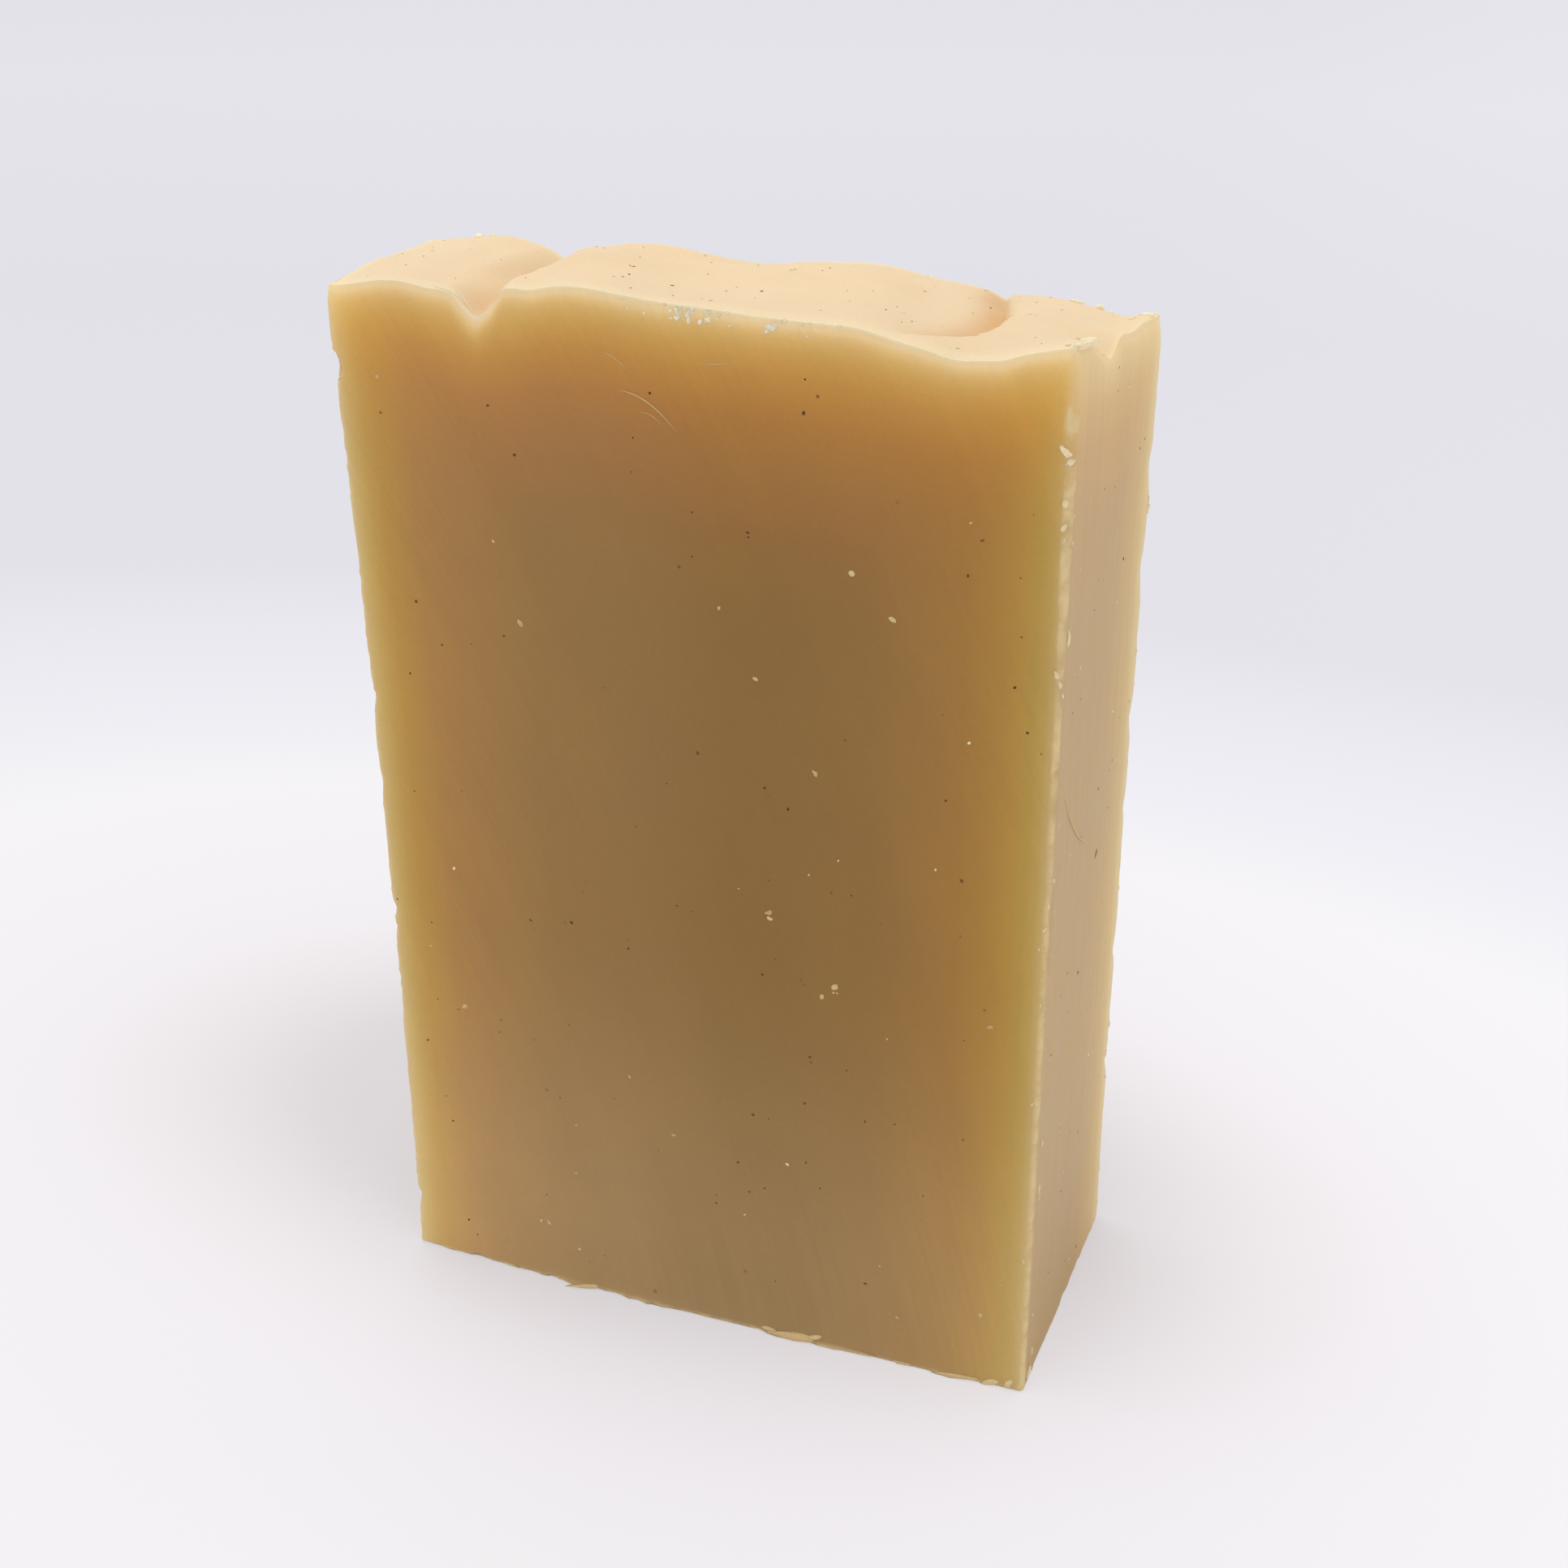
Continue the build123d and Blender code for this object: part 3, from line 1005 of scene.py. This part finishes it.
# Threads of soap on the body: (view, thickness, tone, start, bend, end), in that view's
# two axes
thread_runs = [
    ("front", 0.09, 0.35, (-5.4, 88.3), (-4.4, 88.2), (-3.5, 87.1)),
    ("front", 0.10, 0.45, (-4.4, 85.6), (-2.0, 85.6), (0.2, 82.9)),
    ("front", 0.07, 0.30, (-2.7, 84.1), (-1.6, 84.2), (-0.9, 83.2)),
    ("front", 0.08, 0.40, (2.2, 88.2), (3.0, 88.0), (4.6, 88.4)),
    ("top", 0.14, 0.95, (-19.4, -9.9), (-18.0, -10.4), (-16.9, -9.8)),
    ("top", 0.12, 0.95, (-18.2, -9.0), (-17.0, -9.9), (-16.2, -9.2)),
    ("top", 0.12, 0.90, (-14.9, -9.8), (-14.2, -9.2), (-13.6, -10.0)),
    ("left", 0.10, 0.80, (-10.6, 84.9), (-10.0, 84.2), (-10.3, 83.4)),
    ("right", 0.22, 0.30, (-9.3, 56.6), (-6.2, 51.6), (-1.2, 48.5)),
]


def herb_flecks(tree, bar):
    random = np.random.default_rng(31)
    spots = [("right", 2.0, 46.0, 1.3, 0.8, 0.2, 40.0, 0.7, 1.0)]
    for _ in range(bold_flecks):
        size = 0.28 + 0.34 * random.random()
        spots.append((
            "front", *anywhere(random, bar, "front", 3, 3, 5),
            0.75 * size, 0.58 * size, 0.3 * size,
            random.uniform(0, 180), 0.7, random.random(),
        ))
    for view, count in fine_flecks.items():
        for _ in range(count):
            size = 0.17 + 0.22 * random.random() ** 3
            spots.append((
                view, *anywhere(random, bar, view, 2.5, 2.5, 2.5),
                size, size * random.uniform(0.5, 0.9), size * 0.5,
                random.uniform(0, 180), 0.5, random.random() ** 1.5,
            ))
    return lumps("herb_flecks", tree, spots, fleck_material(), 2, 0.3)


def soap_crumbs(tree, bar, material):
    random = np.random.default_rng(32)
    spots = [
        ("top", x, y, 0.8 * length, 0.8 * width, 0.7 * height, 50.0 * number, -0.1, tone)
        for number, (x, y, length, width, height, tone) in enumerate(top_crumbs)
    ]
    # Clusters broken out along the front rim of the pour, low enough to show on the front
    for across, reach, count, largest in rim_clusters:
        for _ in range(count):
            x = across + random.uniform(-1, 1) * reach
            size = random.uniform(0.4, 1) * largest
            rim = on_body(tree, "top", x, bar.low[1] + 1.9)[0]
            spots.append((
                "front", x, rim[2] - random.uniform(0.0, 1.0), size, size * 0.75, size * 0.3,
                random.uniform(0, 180), 0.2, random.uniform(0.8, 1.0),
            ))
    for _ in range(bold_crumbs):
        size = random.uniform(0.35, 0.75)
        spots.append((
            "front", *anywhere(random, bar, "front", 3, 5, 8),
            size, 0.7 * size, 0.35 * size,
            random.uniform(0, 180), 0.5, random.uniform(0.1, 0.55),
        ))
    for view, count in fine_crumbs.items():
        for _ in range(count):
            size = random.uniform(0.15, 0.35)
            spots.append((
                view, *anywhere(random, bar, view, 2, 2, 2),
                size, size * random.uniform(0.4, 0.9), size * 0.5,
                random.uniform(0, 180), 0.2, random.uniform(0.4, 1.0),
            ))
    return lumps("soap_crumbs", tree, spots, material, 2, 0.45)


def edge_flakes(tree, bar, material):
    random = np.random.default_rng(33)
    spots = [
        (view, first, second, length, width, height, turn, 0.1, tone)
        for view, first, second, length, width, height, turn, tone in flakes
    ]
    for view, across, count in flake_rows:
        for _ in range(count):
            size = random.uniform(0.25, 0.75)
            spots.append((
                view, across + random.normal(0, 0.25), random.uniform(4, bar.high[2] - 8),
                size, size * random.uniform(0.3, 0.6), size * 0.4,
                random.uniform(60, 120), 0.3, random.uniform(0.5, 0.9),
            ))
    return lumps("edge_flakes", tree, spots, material, 2, 0.5)


def soap_threads(tree, material, sides=6, steps=16):
    """Fine threads that the knife drew out, each a thin tube tapered at both ends."""
    points, faces, tones = [], [], []
    for view, thickness, tone, start, bend, end in thread_runs:
        share = np.linspace(0, 1, steps)[:, None]
        route = (1 - share) ** 2 * start + share ** 2 * end
        route = route + 2 * share * (1 - share) * bend
        spots = [on_body(tree, view, *place) for place in route]
        middle = np.array([spot[0] for spot in spots])
        normal = np.array([spot[1] for spot in spots])
        along = np.gradient(middle, axis=0)
        aside = np.cross(along, normal)
        aside /= np.linalg.norm(aside, axis=1)[:, None]
        radius = thickness / 2 * (0.2 + 0.8 * np.sin(np.pi * share))
        first = len(points)
        for step in range(steps):
            for turn in np.arange(sides) * 2 * math.pi / sides:
                around = math.cos(turn) * aside[step] + math.sin(turn) * normal[step]
                points.append(middle[step] + radius[step] * (around + 0.2 * normal[step]))
        tones += [tone] * (steps * sides)
        ring = np.arange(sides)
        for step in range(steps - 1):
            near, far = first + step * sides, first + (step + 1) * sides
            ahead = (ring + 1) % sides
            faces += np.stack([near + ring, near + ahead, far + ahead, far + ring], 1).tolist()
        faces.append((first + ring[::-1]).tolist())
        faces.append((first + (steps - 1) * sides + ring).tolist())
    return toned("soap_threads", np.array(points), faces, np.array(tones), material)


# ---- studio

def floor_material():
    """A white sheet that greys a little with distance, with a painted shadow round the bar and
    painted shade a little darker to the left. About two thirds of what the camera sees of it
    is its own unlit colour, so the object's real shadow on it stays faint."""
    paint = Paint("white_sheet")
    spot = paint.vector("SUBTRACT", paint.place, (-12, 12, 0))
    spot = paint.vector("MULTIPLY", spot, (1, 1.9, 0))
    node = paint.node("ShaderNodeVectorMath", operation="LENGTH")
    paint.feed(node.inputs[0], spot)
    away = node.outputs["Value"]
    # Painted shadow: darker within about 60 mm of a spot behind and left of the bar, reaching less far
    # front and back
    shades = [
        (0, (206, 202, 206)), (40, (214, 211, 217)), (50, (229, 225, 231)),
        (60, (240, 236, 242)), (70, (246, 243, 250)), (85, (249, 247, 255)),
        (130, (250, 250, 255)), (165, (240, 241, 252)), (220, (231, 232, 244)),
        (270, (220, 221, 234)), (600, (219, 220, 234)), (1200, (228, 229, 242)),
    ]
    shades = [(distance, linear(*shade)) for distance, shade in shades]
    colour = paint.ramp(away, shades, 1200.0)
    # Painted shade: the sheet a little darker to the left, lighter to the right
    painted_side_shade = paint.span(paint.parts(paint.place)[0], -90.0, 90.0, 0.97, 1.02)
    colour = paint.vector("SCALE", colour, scale=painted_side_shade)
    paint.set("Base Color", linear(240, 238, 240))
    paint.set("Roughness", 0.9)
    paint.set("Specular IOR Level", 0.1)
    even = paint.node("ShaderNodeEmission")
    paint.feed(even.inputs["Color"], colour)
    path = paint.node("ShaderNodeLightPath")
    seen = paint.times(path.outputs["Is Camera Ray"], 0.65)
    joined = paint.node("ShaderNodeMixShader")
    paint.feed(joined.inputs[0], seen)
    paint.feed(joined.inputs[1], paint.shader.outputs[0])
    paint.feed(joined.inputs[2], even.outputs[0])
    output = paint.tree.nodes["Material Output"]
    paint.feed(output.inputs["Surface"], joined.outputs[0])
    return paint.material


def add_floor(bar):
    shape = bmesh.new()
    bmesh.ops.create_circle(shape, cap_ends=True, segments=96, radius=sheet_radius)
    mesh = bpy.data.meshes.new("floor")
    shape.to_mesh(mesh)
    shape.free()
    floor = add_object("floor", mesh, floor_material())
    floor.location.z = bar.low[2] * MM - sheet_gap * MM


def add_lights(bar):
    world = bpy.data.worlds.new("studio")
    bpy.context.scene.world = world
    world.use_nodes = True
    nodes, links = world.node_tree.nodes, world.node_tree.links
    surround = nodes["Background"]
    surround.inputs["Color"].default_value = (*linear(255, 252, 246), 1)
    surround.inputs["Strength"].default_value = surround_strength
    seen = nodes.new("ShaderNodeBackground")
    seen.inputs["Color"].default_value = (*linear(229, 228, 236), 1)
    path = nodes.new("ShaderNodeLightPath")
    either = nodes.new("ShaderNodeMath")
    either.operation = "MAXIMUM"
    links.new(path.outputs["Is Camera Ray"], either.inputs[0])
    links.new(path.outputs["Is Transmission Ray"], either.inputs[1])
    joined = nodes.new("ShaderNodeMixShader")
    links.new(either.outputs[0], joined.inputs[0])
    links.new(surround.outputs[0], joined.inputs[1])
    links.new(seen.outputs[0], joined.inputs[2])
    links.new(joined.outputs[0], nodes["World Output"].inputs["Surface"])

    lamp = bpy.data.lights.new("window", "AREA")
    lamp.shape = "DISK"
    lamp.size = lamp_size
    lamp.energy = lamp_power
    lamp.color = (1.0, 0.98, 0.95)
    window = bpy.data.objects.new("window", lamp)
    bpy.context.scene.collection.objects.link(window)
    window.location = lamp_place
    target = Vector((0, 0, bar.high[2] * MM / 2))
    window.rotation_euler = (target - window.location).to_track_quat("-Z", "Y").to_euler()


def add_camera():
    """Above and to the right of the front, looking down on the bar."""
    turn, down, roll = np.radians((camera_turn, camera_down, camera_roll)).tolist()
    forward = Vector((
        math.sin(turn) * math.cos(down), math.cos(turn) * math.cos(down), -math.sin(down)
    ))
    level = Vector((math.cos(turn), -math.sin(turn), 0))
    upright = level.cross(forward)
    right = math.cos(roll) * level + math.sin(roll) * upright
    up = -math.sin(roll) * level + math.cos(roll) * upright
    lens = bpy.data.cameras.new("camera")
    lens.sensor_width = 36.0
    lens.lens = camera_lens
    lens.clip_start = 0.01
    camera = bpy.data.objects.new("camera", lens)
    bpy.context.scene.collection.objects.link(camera)
    place = Matrix((right, up, -forward)).transposed().to_4x4()
    place.translation = Vector(camera_place) * MM
    camera.matrix_world = place
    bpy.context.scene.camera = camera


# ---- the scene

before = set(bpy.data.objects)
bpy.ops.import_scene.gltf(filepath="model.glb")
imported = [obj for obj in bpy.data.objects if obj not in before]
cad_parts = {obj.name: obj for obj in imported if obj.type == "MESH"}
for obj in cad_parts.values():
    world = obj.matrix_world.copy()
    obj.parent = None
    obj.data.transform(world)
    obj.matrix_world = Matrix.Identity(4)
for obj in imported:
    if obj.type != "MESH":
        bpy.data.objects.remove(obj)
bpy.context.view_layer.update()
bpy.context.scene.view_settings.view_transform = "Standard"

bar = Bar(NODE)
body, body_points, body_quads = soap_body(bar, soap_material())
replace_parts(settle(body), NODE)
body_tree = BVHTree.FromPolygons(body_points.tolist(), body_quads.tolist())
crumb = crumb_material()
herb_flecks(body_tree, bar)
soap_crumbs(body_tree, bar, crumb)
edge_flakes(body_tree, bar, crumb)
soap_threads(body_tree, crumb)

add_floor(bar)
add_lights(bar)
add_camera()
